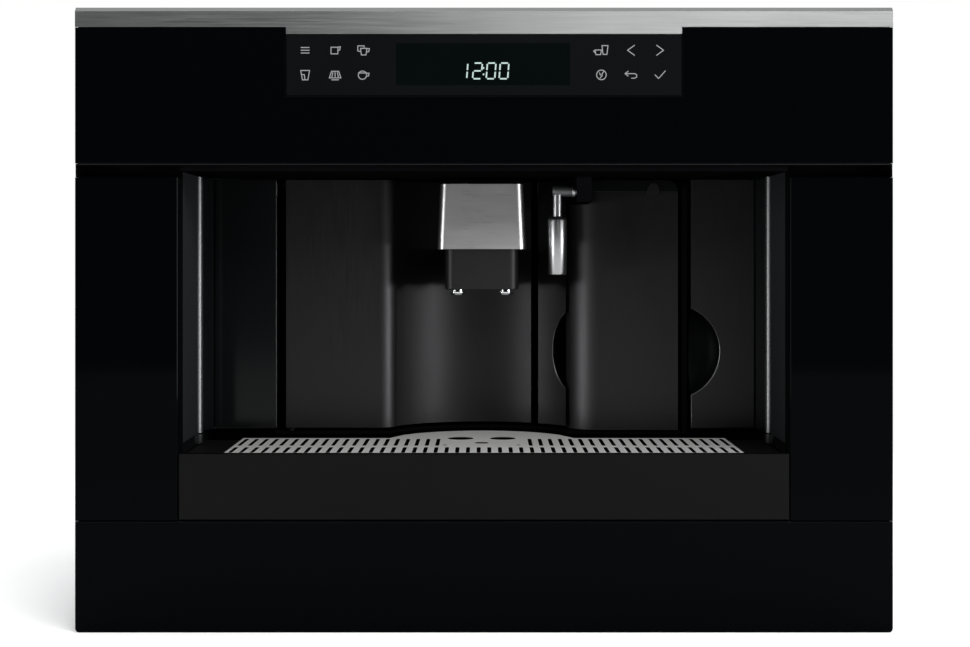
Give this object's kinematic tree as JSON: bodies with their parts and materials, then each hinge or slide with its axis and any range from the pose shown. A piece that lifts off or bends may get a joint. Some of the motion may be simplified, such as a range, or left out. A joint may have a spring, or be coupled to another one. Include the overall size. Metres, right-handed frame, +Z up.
{
  "type": "built in coffee machine",
  "caption": "Built-in bean-to-cup coffee machine: black glass fascia round an open cup niche with a height-adjustable spout, drip tray, steam pipe and water tank.",
  "frame": {"origin": "on the cabinet floor under the middle of the machine's outer box", "axes": "+X to the machine's right as seen from the front, the fascia faces -Y, +Z up"},
  "size_m": [0.595, 0.361, 0.455],
  "materials": {
    "black_glass": "polished black fascia glass",
    "smoked_lens": "smoked control lens",
    "trim_steel": "brushed stainless trim",
    "dark_steel": "dark brushed steel",
    "spout_steel": "satin steel cover",
    "grid_steel": "pressed stainless grid",
    "chrome": "polished chrome",
    "black_plastic": "fine-grained black moulding",
    "gloss_plastic": "gloss black moulding",
    "tray_plastic": "satin black moulding",
    "smoked_plastic": "smoked translucent moulding",
    "grey_plastic": "grey technical moulding",
    "galvanised": "galvanised sheet steel",
    "aluminium": "die-cast aluminium",
    "board": "green circuit board",
    "red_plastic": "red float",
    "burr_steel": "hardened steel"
  },
  "bodies": {
    "runners": {"cabinet_rail_left": "galvanised", "cabinet_rail_right": "galvanised"},
    "sliding_rails": {"sliding_rail_left": "galvanised", "sliding_rail_right": "galvanised"},
    "door": {"door_panel": "dark_steel", "door_frame": "black_plastic", "spout_cover": "spout_steel", "spout_rail": "black_plastic"},
    "spout": {"spout_block": "black_plastic", "nozzle_left": "chrome", "nozzle_right": "chrome"},
    "tray": {"drip_tray": "tray_plastic", "tray_front": "tray_plastic"},
    "grid": {"drip_grid": "grid_steel"},
    "float": {"tray_float": "red_plastic"},
    "tank": {"water_tank": "smoked_plastic", "tank_front": "dark_steel", "tank_lid": "gloss_plastic"},
    "steam_arm": {"steam_pipe": "chrome"},
    "frother": {"frother_sleeve": "chrome"},
    "hopper_cover": {"hopper_lid": "smoked_plastic"},
    "grind_dial": {"grind_knob": "black_plastic"},
    "burr": {"lower_burr": "burr_steel"},
    "chamber": {"brew_chamber": "grey_plastic"},
    "spindle": {"drive_spindle": "burr_steel"},
    "rocker": {"switch_rocker": "black_plastic"},
    "machine": {"machine_rail_left": "galvanised", "machine_rail_right": "galvanised", "base_pan": "galvanised", "side_panel_left": "galvanised", "side_panel_right": "galvanised", "back_panel": "galvanised", "top_cover": "black_plastic", "trim_strip": "trim_steel", "upper_glass": "black_glass", "control_panel": "smoked_lens", "display_board": "board", "column_glass_left": "black_glass", "column_glass_right": "black_glass", "lower_glass": "black_glass", "front_frame": "black_plastic", "niche_liner": "gloss_plastic", "niche_panel_left": "gloss_plastic", "niche_panel_right": "dark_steel", "alcove_panel": "dark_steel", "tray_bay": "gloss_plastic", "service_bay": "grey_plastic", "steam_block": "gloss_plastic", "grinder_housing": "black_plastic", "grinder_motor": "galvanised", "upper_burr": "burr_steel", "bean_hopper": "smoked_plastic", "infuser_frame": "black_plastic", "brew_motor": "galvanised", "grounds_container": "black_plastic", "water_pump": "black_plastic", "thermoblock": "aluminium", "power_board": "board", "pressure_hose": "smoked_plastic", "power_inlet": "black_plastic"}
  },
  "joints": [
    {"name": "rail_slide", "type": "slide", "parent": "runners", "child": "sliding_rails", "axis": [0, -1, 0], "range_m": [0, 0.15]},
    {"name": "machine_slide", "type": "slide", "parent": "runners", "child": "machine", "axis": [0, -1, 0], "range_m": [0, 0.3]},
    {"name": "door_hinge", "type": "hinge", "parent": "machine", "child": "door", "pos_m": [-0.155, -0.0485, 0.24], "axis": [0, 0, 1], "range_deg": [-95, 0]},
    {"name": "spout_height", "type": "slide", "parent": "door", "child": "spout", "axis": [0, 0, 1], "range_m": [-0.018, 0.028]},
    {"name": "tray_slide", "type": "slide", "parent": "machine", "child": "tray", "axis": [0, -1, 0], "range_m": [0, 0.18]},
    {"name": "grid_lift", "type": "slide", "parent": "tray", "child": "grid", "axis": [0, 0, 1], "range_m": [0, 0.04]},
    {"name": "float_rise", "type": "slide", "parent": "tray", "child": "float", "axis": [0, 0, 1], "range_m": [0, 0.01]},
    {"name": "tank_slide", "type": "slide", "parent": "machine", "child": "tank", "axis": [0, -1, 0], "range_m": [0, 0.18]},
    {"name": "steam_swing", "type": "hinge", "parent": "machine", "child": "steam_arm", "pos_m": [0.072, -0.0885, 0.3246], "axis": [-1, 0, 0], "range_deg": [0, 60]},
    {"name": "frother_pull", "type": "slide", "parent": "steam_arm", "child": "frother", "axis": [0, 0, -1], "range_m": [0, 0.045]},
    {"name": "hopper_lid_hinge", "type": "hinge", "parent": "machine", "child": "hopper_cover", "pos_m": [-0.07, 0.157, 0.445], "axis": [-1, 0, 0], "range_deg": [0, 85]},
    {"name": "grind_turn", "type": "hinge", "parent": "machine", "child": "grind_dial", "pos_m": [0.06, 0.0815, 0.445], "axis": [0, 0, 1], "range_deg": [-150, 150]},
    {"name": "burr_turn", "type": "hinge", "parent": "machine", "child": "burr", "pos_m": [-0.07, 0.0815, 0.37], "axis": [0, 0, 1], "continuous": true},
    {"name": "chamber_lift", "type": "slide", "parent": "machine", "child": "chamber", "axis": [0, 0, 1], "range_m": [0, 0.05]},
    {"name": "spindle_turn", "type": "hinge", "parent": "machine", "child": "spindle", "pos_m": [-0.01, 0.1255, 0.21], "axis": [0, 0, 1], "range_deg": [0, 3001]},
    {"name": "switch_rock", "type": "hinge", "parent": "machine", "child": "rocker", "pos_m": [0.157, 0.1735, 0.05], "axis": [1, 0, 0], "range_deg": [0, 16]}
  ],
  "couplings": [
    {"joint": "rail_slide", "follows": "machine_slide", "ratio": 0.5},
    {"joint": "spindle_turn", "follows": "chamber_lift", "rad_per_m": 1047.2}
  ]
}
